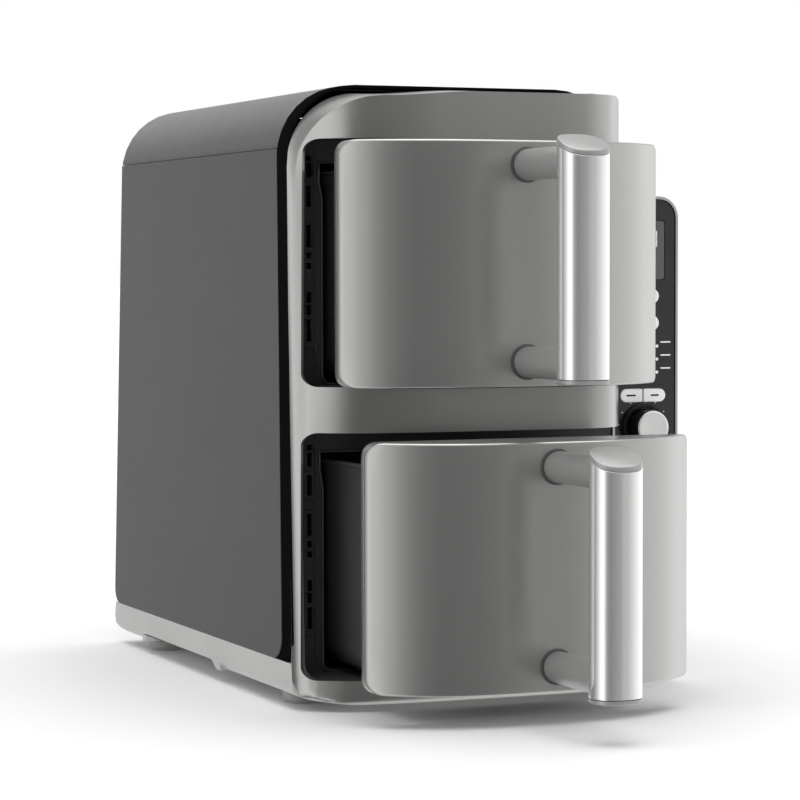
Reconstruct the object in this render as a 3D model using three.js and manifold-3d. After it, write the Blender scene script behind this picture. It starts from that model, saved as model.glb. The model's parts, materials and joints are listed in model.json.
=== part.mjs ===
// Stacked two-drawer air fryer, built from the separate pieces that it comes apart into.
// Millimetres. X runs to the right, -Y to the front, Z up; the feet stand on Z = 0.
// The drawers rest partly open. Sizes below are in a design frame whose Y = 0 is the front edge
// of the top cover; the group at the end moves the whole object to its own origin.
import * as THREE from 'three';
import { mergeVertices } from 'three/addons/utils/BufferGeometryUtils.js';
import Module from 'manifold-3d';

const wasm = await Module();
wasm.setup();

// ---- Driving dimensions ----
const GAP = 0.3;                       // between pieces that rest on each other

// casing
const LEFT = -140;                     // left face at the foot of the side panel
const RIGHT = 140;                     // right face of the control housing
const SHELL_RIGHT = 92;                // right face of the tall casing
const TOP = 385;
const ARCH_RADIUS = 45;
const SEAM = 345.6;                    // height of the seam under the top cover
const PANEL_FOOT = 29.4;               // lower edge of the side panels
const DRAFT = 0.0126;                  // inward slope of the left face
const FRONT_LEAN = 0.051;              // the front edge comes forward towards the base
const REAR_LEAN = 0.0345;
const DEPTH = 323;                     // top cover, front to back
const WALL = 2.5;

// front
const TRIM_DEPTH = 17.5;               // dark band between the side panel and the bezel
const BULGE_RIGHT = 84;
const CREST = 379;                     // top edge of the bezel's broad front
const CREST_RIM = 4.3;                 // its left edge, in from the arch
const CREST_RADIUS = 14;               // its top right corner
const ARCH_FRONT = -17;                // where the slope from the arch to the broad front starts
const CREST_FRONT = -36;               // and where it ends
const BEZEL_FOOT = 7.8;
const BEZEL_WALL = 3;
const TRIM_WALL = 2;
const FLANGE = 2.5;                    // thickness of the inner frames
const MOUTH_PLANE = -8;                // front face of the inner frames and of the control panel
const OPENING_RADIUS = 9;
const OPENING = { left: -132, low: 19.5, high: 171 };
const PITCH = 179.5;                   // lower storey to upper storey

// cavities and drawers
const MIDDLE = -17;                    // centre of the drawers and cavities in X
const CAVITY_HALF = 93;
const CAVITY = { low: 19.5, high: 158, ledge: 134.7, wide: 146, widening: 2 };
const CAVITY_BACK = 300;
const SHEET = 1.5;
const GUARD_FRONT = 262;
const FRONT_HALF = 108;                // half the width of a drawer front
const FRONT_LOW = 21;
const FRONT_HIGH = 169;
const FRONT_SAG = 36;                  // how far the ends of a drawer front curve back
const FRONT_POWER = 3;
const FRONT_RIM = 6;
const FRONT_RADIUS = 9;
const CLOSED_FRONT = -65;              // flat middle of a drawer front when it is shut
const OPEN = { upper: 42, lower: 84 }; // how far each drawer stands open
const BASKET = { half: 85.4, low: 22, high: 152.5, length: 275, setback: 44.6, wall: 2 };
const PLATE_HEIGHT = 36;

// handles
const HANDLE_REACH = 76;               // drawer front to the axis of the grip
const GRIP_HALF_WIDTH = 14.5;
const GRIP_HALF_DEPTH = 12.5;
const GRIP_LOW = 25.6;
const GRIP_HIGH = 170.5;
const GRIP_SLOPE = 0.42;               // fall of the end cap towards the front
const POST_RADIUS = 9.5;
const POST_HEIGHTS = [35.3, 154];

// control housing
const POD = { left: 92.3, low: PANEL_FOOT, high: 318, back: 325, radius: 14 };
const PANEL_X = 115;                   // centre line of the controls
const DIAL_Z = 167.8;
const DIAL_RADIUS = 11;

// base
const BASE_LOW = 8;
const FOOT_EDGE = 10;                  // rounding of the lower side edges
const FOOT_RADIUS = 13;
const FEET_Y = [3.5, 278];
const FOOT_X = 118;

// ---- Solids ----
function arc(cx, cy, radius, from, to, steps) {
  const points = [];
  for (let i = 0; i <= steps; i += 1) {
    const angle = THREE.MathUtils.degToRad(from + ((to - from) * i) / steps);
    points.push([cx + radius * Math.cos(angle), cy + radius * Math.sin(angle)]);
  }
  return points;
}

// Corner radii run bottom left, bottom right, top right, top left.
function roundedBox(x0, x1, y0, y1, radii, steps = 4) {
  const [a, b, c, d] = Array.isArray(radii) ? radii : [radii, radii, radii, radii];
  const corner = (x, y, radius, from) =>
    (radius > 0 ? arc(x, y, radius, from, from + 90, steps) : [[x, y]]);
  return [
    ...corner(x0 + a, y0 + a, a, 180),
    ...corner(x1 - b, y0 + b, b, 270),
    ...corner(x1 - c, y1 - c, c, 0),
    ...corner(x0 + d, y1 - d, d, 90),
  ];
}

const circle = (cx, cy, radius, sides) => arc(cx, cy, radius, 0, 360, sides).slice(0, sides);

function solidOf(geometry) {
  geometry.deleteAttribute('normal');
  geometry.deleteAttribute('uv');
  const merged = mergeVertices(geometry, 1e-4);
  return new wasm.Manifold(new wasm.Mesh({
    numProp: 3,
    vertProperties: new Float32Array(merged.attributes.position.array),
    triVerts: new Uint32Array(merged.index.array),
  }));
}

function prism(points, from, to, basis) {
  const shape = new THREE.Shape(points.map(([u, v]) => new THREE.Vector2(u, v)));
  const geometry = new THREE.ExtrudeGeometry(shape, { depth: to - from, bevelEnabled: false });
  geometry.translate(0, 0, from);
  geometry.applyMatrix4(basis);
  return solidOf(geometry);
}

// An outline at depth w0 that changes evenly into another one, with as many points, at w1.
function loft(first, w0, last, w1, basis) {
  const count = first.length;
  const positions = [...first.map(([u, v]) => [u, v, w0]), ...last.map(([u, v]) => [u, v, w1])];
  const index = [];
  for (let i = 0; i < count; i += 1) {
    const next = (i + 1) % count;
    index.push(i, next, count + next, i, count + next, count + i);
  }
  const outline = (points) => points.map(([u, v]) => new THREE.Vector2(u, v));
  for (const [a, b, c] of THREE.ShapeUtils.triangulateShape(outline(first), [])) {
    index.push(a, c, b);
  }
  for (const [a, b, c] of THREE.ShapeUtils.triangulateShape(outline(last), [])) {
    index.push(count + a, count + b, count + c);
  }
  const geometry = new THREE.BufferGeometry();
  geometry.setAttribute('position', new THREE.Float32BufferAttribute(positions.flat(), 3));
  geometry.setIndex(index);
  geometry.applyMatrix4(basis);
  return solidOf(geometry);
}

const axes = (u, v, w) => new THREE.Matrix4().makeBasis(
  new THREE.Vector3(...u), new THREE.Vector3(...v), new THREE.Vector3(...w));
const ALONG_X = axes([0, 1, 0], [0, 0, 1], [1, 0, 0]);
const ALONG_Y = axes([1, 0, 0], [0, 0, 1], [0, -1, 0]);
const ALONG_Z = new THREE.Matrix4();

const prismX = (points, x0, x1) => prism(points, x0, x1, ALONG_X);   // points are (y, z)
const prismY = (points, y0, y1) => prism(points, -y1, -y0, ALONG_Y); // points are (x, z)
const prismZ = (points, z0, z1) => prism(points, z0, z1, ALONG_Z);   // points are (x, y)
const block = (x0, x1, y0, y1, z0, z1) => prismZ([[x0, y0], [x1, y0], [x1, y1], [x0, y1]], z0, z1);
const rodY = (x, z, radius, y0, y1, sides = 16) => prismY(circle(x, z, radius, sides), y0, y1);
const rodZ = (x, y, radius, z0, z1, sides = 16) => prismZ(circle(x, y, radius, sides), z0, z1);
const joined = (solids) => solids.reduce((whole, piece) => whole.add(piece));
const cutBy = (solid, cutters) => cutters.reduce((whole, cutter) => whole.subtract(cutter), solid);

// ---- Finishes ----
const finish = (colour, roughness, metalness) =>
  new THREE.MeshStandardMaterial({ color: colour, roughness, metalness });
const PAINTED = finish(0x666663, 0.5, 0.2);
const GREY_PLASTIC = finish(0xa2a3a0, 0.35, 0.1);
const FRONT_PAINT = finish(0x8c8d8a, 0.35, 0.3);
const PALE_PLASTIC = finish(0xb4b5b2, 0.5, 0);
const BLACK_GLOSS = finish(0x141414, 0.12, 0);
const BLACK_PLASTIC = finish(0x1c1c1a, 0.5, 0);
const CHROME = finish(0xe4e4e2, 0.08, 1);
const SILVER = finish(0xe2e2e0, 0.3, 1);
const COATED = finish(0x2d2d2d, 0.45, 0.3);
const SHEET_STEEL = finish(0x4a4b4b, 0.35, 0.9);
const STEEL = finish(0x9a9c9e, 0.3, 1);
const RUBBER = finish(0x3a3a3a, 0.9, 0);
const WHITE_KEY = finish(0xdcdcda, 0.5, 0);
const DISPLAY = finish(0x6a6c6c, 0.2, 0);
const BOARD = finish(0x1f5a34, 0.6, 0);

const airFryer = new THREE.Group();

function place(name, solid, material) {
  const { numProp, vertProperties, triVerts } = solid.getMesh();
  const positions = new Float32Array((vertProperties.length / numProp) * 3);
  for (let i = 0; i < positions.length / 3; i += 1) {
    positions.set(vertProperties.subarray(i * numProp, i * numProp + 3), i * 3);
  }
  const geometry = new THREE.BufferGeometry();
  geometry.setAttribute('position', new THREE.BufferAttribute(positions, 3));
  geometry.setIndex(new THREE.BufferAttribute(new Uint32Array(triVerts), 1));
  geometry.computeVertexNormals();
  const mesh = new THREE.Mesh(geometry, material);
  mesh.name = name;
  airFryer.add(mesh);
}

// ---- Outlines shared by the casing pieces ----
const leftFace = (z) => LEFT + DRAFT * Math.max(z - PANEL_FOOT, 0);
const frontEdge = (z) => -FRONT_LEAN * Math.max(SEAM - z, 0);
const rearEdge = (z) => DEPTH + REAR_LEAN * Math.max(SEAM - z, 0);

// The arch of the tall casing seen from the front, moved in by inset.
function archOutline(inset, foot, radius = ARCH_RADIUS) {
  const spring = TOP - radius;
  const left = leftFace(spring) + inset;
  const right = SHELL_RIGHT - inset;
  const bend = radius - inset;
  return [
    [leftFace(foot) + inset, foot],
    [right, foot],
    ...arc(right - bend, spring, bend, 0, 90, 8),
    ...arc(left + bend, spring, bend, 90, 180, 8),
  ];
}

// Side view of the dark band and all that lies behind it, grown by grow.
const bandFront = (z) => frontEdge(z) - TRIM_DEPTH;
function bandOutline(grow) {
  const corner = 12;
  return [
    ...arc(bandFront(PANEL_FOOT) + corner, PANEL_FOOT + corner, corner + grow, 180, 270, 4),
    [60, PANEL_FOOT - grow],
    [60, TOP + 5],
    [bandFront(SEAM) - grow, TOP + 5],
    [bandFront(SEAM) - grow, SEAM],
  ];
}

// Side view of the base.
function baseOutline(grow) {
  return [
    [bandFront(PANEL_FOOT) - 3 - grow, BASE_LOW - grow],
    ...arc(rearEdge(BASE_LOW) - 16, BASE_LOW + 16, 16 + grow, 270, 340, 5),
    [rearEdge(PANEL_FOOT) - 2, PANEL_FOOT - GAP],
    [bandFront(PANEL_FOOT) + 1 - grow, PANEL_FOOT - GAP],
    [bandFront(PANEL_FOOT) - 1 - grow, BASE_LOW + 9],
  ];
}

// Front view of the lower edges of the bezel and the base, which are rounded at both sides.
const footOutline = (low) => roundedBox(LEFT - 1, RIGHT + 1, low, TOP + 10,
  [FOOT_EDGE, FOOT_EDGE, 0, 0]);

// ---- Casing ----
function makeTopCover() {
  const whole = prismY(archOutline(0, SEAM - 20), GAP, DEPTH);
  const inside = prismY(archOutline(WALL, SEAM - 30), -1, DEPTH + 1);
  const below = block(LEFT - 5, RIGHT, -1, DEPTH + 1, SEAM - 40, SEAM + GAP);
  place('top_cover', cutBy(whole, [inside, below]), PAINTED);
}

// Side view of a side panel, grown at its front by grow.
function sidePanelOutline(frontRadius, grow = 0) {
  const foot = PANEL_FOOT;
  const bend = frontRadius + grow;
  const front = (z) => frontEdge(z) + GAP - grow;
  return [
    ...arc(front(foot) + bend, foot + frontRadius, bend, 180, 270, 5),
    ...arc(rearEdge(foot) - 10, foot + 10 - grow, 10, 270, 360, 5),
    [rearEdge(SEAM), SEAM],
    [front(SEAM), SEAM],
  ];
}

function makeSidePanels() {
  const leaning = new THREE.Matrix4().set(
    1, 0, DRAFT, -DRAFT * PANEL_FOOT, 0, 1, 0, 0, 0, 0, 1, 0, 0, 0, 0, 1);
  const left = prism(sidePanelOutline(14), LEFT, LEFT + WALL, leaning.multiply(ALONG_X));
  place('left_side_panel', left, PAINTED);
  const right = prismX(sidePanelOutline(4), SHELL_RIGHT - WALL, SHELL_RIGHT);
  const behindFrames = block(0, RIGHT, -60, MOUTH_PLANE + FLANGE + GAP, 0, TOP);
  place('right_side_panel', right.subtract(behindFrames), PAINTED);
}

function makeArchTrim() {
  const band = prismX(bandOutline(0), LEFT - 5, SHELL_RIGHT + 5);
  const ring = prismY(archOutline(0, BASE_LOW), -60, 70)
    .subtract(prismY(archOutline(TRIM_WALL, 0), -61, 71));
  const sidePanels = prismX(sidePanelOutline(14, GAP), LEFT - 6, SHELL_RIGHT + 6);
  const topCover = block(LEFT - 6, RIGHT, 0, 71, SEAM - 1, TOP + 10);
  const overControls = block(0, RIGHT, -61, 71, 0, POD.high + GAP);
  place('arch_trim', cutBy(band.intersect(ring), [sidePanels, topCover, overControls]),
    BLACK_GLOSS);
}

// Plan of the bezel: [x, y, share of the lean that the point follows]. The left edge leans with
// the dark band and the broad front stands upright.
const BEZEL_PLAN = [
  [-145, -22, 1], [-140, -26, 1], [-133.6, -31.2, 0.9], [-126, -38.3, 0.75], [-119, -44.3, 0.55],
  [-112.5, -49, 0.4], [-106, -52.5, 0.25], [-92, -57, 0.1], [-68, -60.3, 0], [-40, -61.5, 0],
  [0, -62, 0], [40, -62, 0], [56, -60.5, 0], [68, -55, 0], [77, -46, 0], [82.5, -35, 0],
  [BULGE_RIGHT, -27, 0],
];
const PLAN_HEIGHT = 185;               // where the plan has no lean

function bezelPlan(z, inset) {
  const lean = FRONT_LEAN * (z - PLAN_HEIGHT);
  const right = BULGE_RIGHT - inset;
  return [
    [BEZEL_PLAN[0][0], 20],
    ...BEZEL_PLAN.map(([x, y, share]) => [Math.min(x, right), y + inset + lean * share]),
    [right, MOUTH_PLANE - GAP],
    [SHELL_RIGHT - inset, MOUTH_PLANE - GAP],
    [SHELL_RIGHT - inset, 20],
  ];
}

// Front view of the bezel at its broad front, where it has slanted in from the arch.
function crestOutline(inset) {
  const spring = TOP - ARCH_RADIUS;
  const bend = ARCH_RADIUS - CREST_RIM - inset;
  const middle = leftFace(spring) + ARCH_RADIUS;
  const corner = CREST_RADIUS - inset;
  const right = BULGE_RIGHT - inset;
  return [
    [leftFace(0) + inset, 0],
    [right, 0],
    ...arc(right - corner, CREST - CREST_RADIUS, corner, 0, 90, 8),
    ...arc(middle, spring, bend, 90, 180, 8),
    [leftFace(spring - 40) + inset, spring - 40],
  ];
}

function bezelVolume(inset) {
  const plan = loft(bezelPlan(BEZEL_FOOT, inset), BEZEL_FOOT + inset, bezelPlan(TOP, inset), TOP + 5,
    ALONG_Z);
  const crest = crestOutline(inset);
  const arch = [...archOutline(inset, 0), [leftFace(TOP - 85) + inset, TOP - 85]];
  const from = ARCH_FRONT + inset;
  const to = CREST_FRONT + inset;
  const slant = loft(arch, -from, crest, -to, ALONG_Y);
  const ahead = prismY(crest, -100, to);
  const behind = prismY(arch, from, 30);
  return plan.intersect(joined([slant, ahead, behind]));
}

function openingOutline(storey, grow) {
  const low = OPENING.low + PITCH * storey - grow;
  const high = OPENING.high + PITCH * storey + grow;
  const round = OPENING_RADIUS + grow;
  return roundedBox(OPENING.left - grow, SHELL_RIGHT + 20, low, high, [round, 0, 0, round]);
}

function makeBezel() {
  const inner = bezelVolume(BEZEL_WALL);
  const shell = bezelVolume(0).subtract(inner);
  const openings = [0, 1].map((storey) => prismY(openingOutline(storey, 0), -100, 40));
  const rear = [bandOutline(GAP), baseOutline(GAP)]
    .map((outline) => prismX(outline, LEFT - 20, RIGHT + 20));
  const controls = block(SHELL_RIGHT - 1, RIGHT, -60, 40, -5, POD.high + 6);
  const besidePod = block(BULGE_RIGHT + 0.1, RIGHT, -60, 40, -5, OPENING.high + PITCH);
  const rounded = shell.intersect(prismY(footOutline(BEZEL_FOOT), -100, 40));
  place('front_bezel', cutBy(rounded, [...openings, ...rear, controls, besidePod]), GREY_PLASTIC);
}

function makeBase() {
  const tray = prismX(baseOutline(0), LEFT, RIGHT)
    .intersect(prismY(footOutline(BASE_LOW), -60, DEPTH + 20));
  const hollow = block(LEFT + 3, RIGHT - 3, -25, 318, BASE_LOW + 3, 60);
  const grip = prismX([[106, BASE_LOW - 1], [264, BASE_LOW - 1], [258, BASE_LOW + 5.5],
    [118, BASE_LOW + 5.5]], LEFT - 1, LEFT + 26);
  const otherGrip = grip.mirror([1, 0, 0]);
  const frontGate = block(-135.2, SHELL_RIGHT, -60, -20, BASE_LOW + 3, 60);
  const gripRoof = (x0, x1) => block(x0, x1, 100, 268, BASE_LOW, BASE_LOW + 8.5);
  const whole = joined([
    tray.subtract(hollow),
    gripRoof(LEFT, LEFT + 29),
    gripRoof(RIGHT - 29, RIGHT),
  ]);
  const beforeControls = block(BULGE_RIGHT + 2, RIGHT + 1, -60, MOUTH_PLANE - 1, 0, 60);
  place('base_housing', cutBy(whole, [grip, otherGrip, frontGate, beforeControls]), PALE_PLASTIC);
}

function makeFeet() {
  for (const [end, y] of [['front', FEET_Y[0]], ['rear', FEET_Y[1]]]) {
    for (const [side, x] of [['left', -FOOT_X], ['right', FOOT_X]]) {
      const foot = joined([
        rodZ(x, y, FOOT_RADIUS, 1, BASE_LOW - GAP, 20),
        rodZ(x, y, FOOT_RADIUS - 1.5, 0, 2, 20),
      ]);
      place(`${end}_${side}_foot`, foot, RUBBER);
    }
  }
}

function makeBackPanel() {
  const face = (z, back) => rearEdge(z) - back;
  const sheet = prismX([
    [face(PANEL_FOOT, 4.5), PANEL_FOOT],
    [face(PANEL_FOOT, 1.5), PANEL_FOOT],
    [face(SEAM, 1.5), SEAM],
    [face(TOP, 1.5), TOP],
    [face(TOP, 4.5), TOP],
    [face(SEAM, 4.5), SEAM],
  ], LEFT, SHELL_RIGHT);
  const bounds = prismY(archOutline(WALL + 0.5, PANEL_FOOT - 5), 300, 350);
  const vents = [];
  for (const middle of [88, 268]) {
    for (let row = -3; row <= 3; row += 1) {
      vents.push(block(MIDDLE - 50, MIDDLE + 50, 300, 350, middle + row * 13 - 2.5,
        middle + row * 13 + 2.5));
    }
  }
  place('back_panel', cutBy(sheet.intersect(bounds), vents), BLACK_PLASTIC);
}

// ---- Cooking cavities ----
// Grown by grow; the ledge near the top carries the rim of the basket.
function cavityOutline(storey, grow) {
  const lift = PITCH * storey;
  const half = CAVITY_HALF + grow;
  const wide = half + CAVITY.widening;
  const low = CAVITY.low + lift - grow;
  const high = CAVITY.high + lift + grow;
  const bend = 6 + grow;
  return [
    ...arc(MIDDLE - half + bend, low + bend, bend, 180, 270, 3),
    ...arc(MIDDLE + half - bend, low + bend, bend, 270, 360, 3),
    [MIDDLE + half, CAVITY.ledge + lift],
    [MIDDLE + wide, CAVITY.wide + lift],
    [MIDDLE + wide, high],
    [MIDDLE - wide, high],
    [MIDDLE - wide, CAVITY.wide + lift],
    [MIDDLE - half, CAVITY.ledge + lift],
  ];
}

// Heights of the slots in the left flange, above the foot of the opening.
const FLANGE_SLOTS = [[27, 42], [43.5, 58], [72, 76.5], [78.5, 82.5], [85.5, 99.5], [110.5, 123.5],
  [128.5, 142.5]];

function makeMouthFrame(name, storey) {
  const low = OPENING.low + PITCH * storey;
  const tunnelOut = prismY(openingOutline(storey, 2.6), -100, MOUTH_PLANE + FLANGE);
  const tunnelIn = prismY(openingOutline(storey, 0.1), -101, MOUTH_PLANE);
  const hollowBezel = bezelVolume(BEZEL_WALL + 0.6);
  const walls = tunnelOut.subtract(tunnelIn).intersect(hollowBezel);
  const flangeOutline = roundedBox(OPENING.left - 2.2, SHELL_RIGHT - GAP, low - 2.2,
    OPENING.high + PITCH * storey + 2.2, 2);
  const flange = prismY(flangeOutline, MOUTH_PLANE, MOUTH_PLANE + FLANGE);
  const cuts = [prismY(cavityOutline(storey, 0), MOUTH_PLANE - 5, 5)];
  for (const [from, to] of FLANGE_SLOTS) {
    cuts.push(block(-119.5, -116.3, MOUTH_PLANE - 1, 5, low + from, low + to));
  }
  const base = block(LEFT - 20, RIGHT + 20, -60, 40, -5, BASE_LOW + 3 + GAP);
  const besideFrame = joined([block(LEFT - 5, 0, -60, 40, 0, TOP), block(0, RIGHT, -60, 40, POD.high, TOP)]);
  const trim = besideFrame.subtract(prismY(archOutline(TRIM_WALL + GAP, 0), -61, 41));
  place(name, cutBy(flange.add(walls), [...cuts, base, trim]), BLACK_PLASTIC);
}

const fanHeight = (storey) => (CAVITY.low + CAVITY.high) / 2 + PITCH * storey;

function makeCavity(prefix, storey) {
  const z = fanHeight(storey);
  const front = MOUTH_PLANE + FLANGE + GAP;
  const liner = prismY(cavityOutline(storey, SHEET), front, CAVITY_BACK)
    .subtract(prismY(cavityOutline(storey, 0), front - 1, CAVITY_BACK - SHEET));
  const holes = [rodY(MIDDLE, z, 6, CAVITY_BACK - 5, CAVITY_BACK + 5, 10)];
  for (const side of [-1, 1]) {
    holes.push(rodY(MIDDLE + side * 40, z - 52, 4.5, CAVITY_BACK - 5, CAVITY_BACK + 5, 8));
  }
  place(`${prefix}_cavity_liner`, cutBy(liner, holes), SHEET_STEEL);

  const guard = prismY(cavityOutline(storey, -0.6), GUARD_FRONT, GUARD_FRONT + SHEET);
  const slots = [];
  for (let row = -4; row <= 4; row += 1) {
    const reach = Math.sqrt(60 ** 2 - (row * 12) ** 2);
    slots.push(block(MIDDLE - reach, MIDDLE + reach, GUARD_FRONT - 5, GUARD_FRONT + 5,
      z + row * 12 - 3, z + row * 12 + 3));
  }
  place(`${prefix}_fan_guard`, cutBy(guard, slots), STEEL);

  const loop = new THREE.TorusGeometry(52, 3.2, 6, 24);
  loop.rotateX(Math.PI / 2);
  loop.translate(MIDDLE, 271, z);
  const tails = [-1, 1].map((side) => joined([
    rodY(MIDDLE + side * 40, z - 52, 3.2, 268, CAVITY_BACK + 8, 8),
    block(MIDDLE + side * 36 - 6, MIDDLE + side * 36 + 6, 269.5, 272.5, z - 52, z - 36),
  ]));
  place(`${prefix}_heating_element`, joined([solidOf(loop), ...tails]), STEEL);

  const blades = [];
  for (let i = 0; i < 8; i += 1) {
    const blade = block(8, 45, 280, 291, -1, 1).rotate([0, (i * 360) / 8, 0]);
    blades.push(blade.translate([MIDDLE, 0, z]));
  }
  const wheel = joined([
    rodY(MIDDLE, z, 11, 279, 292, 16),
    rodY(MIDDLE, z, 46, 291, 292.5, 24),
    rodY(MIDDLE, z, 3, 292, 308, 10),
    ...blades,
  ]);
  place(`${prefix}_fan_wheel`, wheel, STEEL);

  const motor = joined([
    rodY(MIDDLE, z, 24, 303, 317, 20),
    block(MIDDLE - 36, MIDDLE + 36, 303, 305, z - 9, z + 9),
  ]).subtract(rodY(MIDDLE, z, 4, 300, 311, 10));
  place(`${prefix}_fan_motor`, motor, STEEL);
}

function makeDivider() {
  place('cavity_divider', block(-134, SHELL_RIGHT - 3, 2, CAVITY_BACK, 177, 179), SHEET_STEEL);
}

// ---- Control housing ----
const podOutline = (inset) => {
  const top = POD.radius - inset;
  const low = POD.low + inset;
  return roundedBox(POD.left + inset, RIGHT - inset, low, POD.high - inset, [2, 2, top, top], 6);
};
const stadium = (x0, x1, z, half, ends = [1, 1]) =>
  roundedBox(x0, x1, z - half, z + half,
    [half * ends[0], half * ends[1], half * ends[1], half * ends[0]].map((r) => r * 0.98), 6);

// The outlines of the keys, grown by grow.
const KEYS = {
  upper_zone_button: (grow) => stadium(PANEL_X - 11 - grow, PANEL_X + 11 + grow, 253, 4.7 + grow),
  lower_zone_button: (grow) => stadium(PANEL_X - 11 - grow, PANEL_X + 11 + grow, 235.5, 4.7 + grow),
  temperature_button: (grow) => stadium(98.6 - grow, 114.1 + grow, 188.4, 4.1 + grow, [1, 0.1]),
  time_button: (grow) => stadium(115.3 - grow, 130.8 + grow, 188.4, 4.1 + grow, [0.1, 1]),
  start_button: (grow) => circle(PANEL_X, 133, 7.5 + grow, 20),
  power_button: (grow) => circle(PANEL_X, 62, 5.5 + grow, 20),
};

function makeControls() {
  const front = MOUTH_PLANE;
  const back = front + 3;
  const housing = prismY(podOutline(0), back + GAP, POD.back)
    .subtract(prismY(podOutline(WALL), back - 1, POD.back - WALL));
  const cuts = [rodY(PANEL_X, 66, 8.5, 300, 340, 16)];
  for (let row = 0; row < 6; row += 1) {
    cuts.push(block(103, 128, 300, 340, 210 + row * 12, 215 + row * 12));
  }
  place('control_housing', cutBy(housing, cuts), PALE_PLASTIC);

  const trim = prismY(podOutline(0), front - 1, back).subtract(prismY(podOutline(1.8), -20, 5));
  place('panel_trim', trim, CHROME);

  const window = (grow) => roundedBox(PANEL_X - 14 - grow, PANEL_X + 15.4 + grow, 264 - grow,
    302 + grow, 2);
  const holes = Object.values(KEYS).map((outline) => prismY(outline(GAP), -20, 5));
  const glass = cutBy(prismY(podOutline(1.8 + GAP), front, back),
    [...holes, prismY(window(GAP), -20, 5), rodY(PANEL_X, DIAL_Z, 4.5, -20, 5, 12)]);
  place('control_panel', glass, BLACK_GLOSS);
  place('display_window', prismY(window(0), front + 0.2, back - 0.4), DISPLAY);

  for (const [name, outline] of Object.entries(KEYS)) {
    const key = prismY(outline(0), front - 0.8, back + 1.8)
      .add(prismY(outline(0.55), back + GAP, back + 1.8));
    place(name, key, WHITE_KEY);
  }

  const collar = rodY(PANEL_X, DIAL_Z, 15.5, front - 2.8, front - GAP, 28)
    .subtract(rodY(PANEL_X, DIAL_Z, DIAL_RADIUS + 1.8, -20, 5, 28));
  place('dial_collar', collar, BLACK_PLASTIC);
  const knob = joined([
    rodY(PANEL_X, DIAL_Z, DIAL_RADIUS + 0.8, -21.5, front - 0.8, 28),
    rodY(PANEL_X, DIAL_Z, 3, -10, 0, 10),
  ]);
  place('dial_knob', knob, BLACK_PLASTIC);
  place('dial_face', rodY(PANEL_X, DIAL_Z, DIAL_RADIUS, -23, -21.5 - GAP, 28), SILVER);
  const encoder = block(PANEL_X - 7, PANEL_X + 7, -2.6, 1.1, DIAL_Z - 7, DIAL_Z + 7)
    .subtract(rodY(PANEL_X, DIAL_Z, 3.6, -5, 5, 10));
  place('dial_encoder', encoder, STEEL);
  place('control_board', block(96, 136, 1.4, 3, 110, 306), BOARD);
  const power = joined([
    block(100, 101.6, 80, 240, 60, 200),
    rodZ(114, 120, 9, 80, 112, 14),
    block(101, 122, 160, 200, 90, 130),
  ]).add(block(101, 108, 112, 128, 86, 106));
  place('power_board', power, BOARD);

  const gland = joined([
    rodY(PANEL_X, 66, 12, POD.back + GAP, POD.back + 3.5, 20),
    rodY(PANEL_X, 66, 8.1, POD.back - 6, POD.back + 6, 20),
  ]).subtract(rodY(PANEL_X, 66, 4.2, POD.back - 3, POD.back + 8, 12));
  place('cord_gland', gland, BLACK_PLASTIC);
}

// ---- Drawers ----
// Plan of a drawer front from its left end to its right end.
function frontCurve(face, inset) {
  const half = FRONT_HALF - inset;
  const points = [];
  for (let i = 0; i <= 24; i += 1) {
    const along = Math.sin(((i / 24) * 2 - 1) * Math.PI / 2);
    points.push([MIDDLE + half * along, face + inset + FRONT_SAG * Math.abs(along) ** FRONT_POWER]);
  }
  return points;
}

function drawerShell(face, storey, inset, rim) {
  const lift = PITCH * storey;
  const half = FRONT_HALF - inset;
  const back = face + FRONT_SAG + rim;
  const plan = [...frontCurve(face, inset), [MIDDLE + half, back], [MIDDLE - half, back]];
  const outline = roundedBox(MIDDLE - half, MIDDLE + half, FRONT_LOW + lift + inset,
    FRONT_HIGH + lift - inset, FRONT_RADIUS - inset);
  return prismZ(plan, 0, TOP).intersect(prismY(outline, face - 10, back + 10));
}

function gripSection(face, inset) {
  const points = [];
  for (let i = 0; i < 28; i += 1) {
    const angle = (i / 28) * Math.PI * 2;
    const power = (value) => Math.sign(value) * Math.abs(value) ** 0.85;
    points.push([
      MIDDLE + (GRIP_HALF_WIDTH - inset) * power(Math.cos(angle)),
      face - HANDLE_REACH + (GRIP_HALF_DEPTH - inset) * power(Math.sin(angle)),
    ]);
  }
  return points;
}

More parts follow.
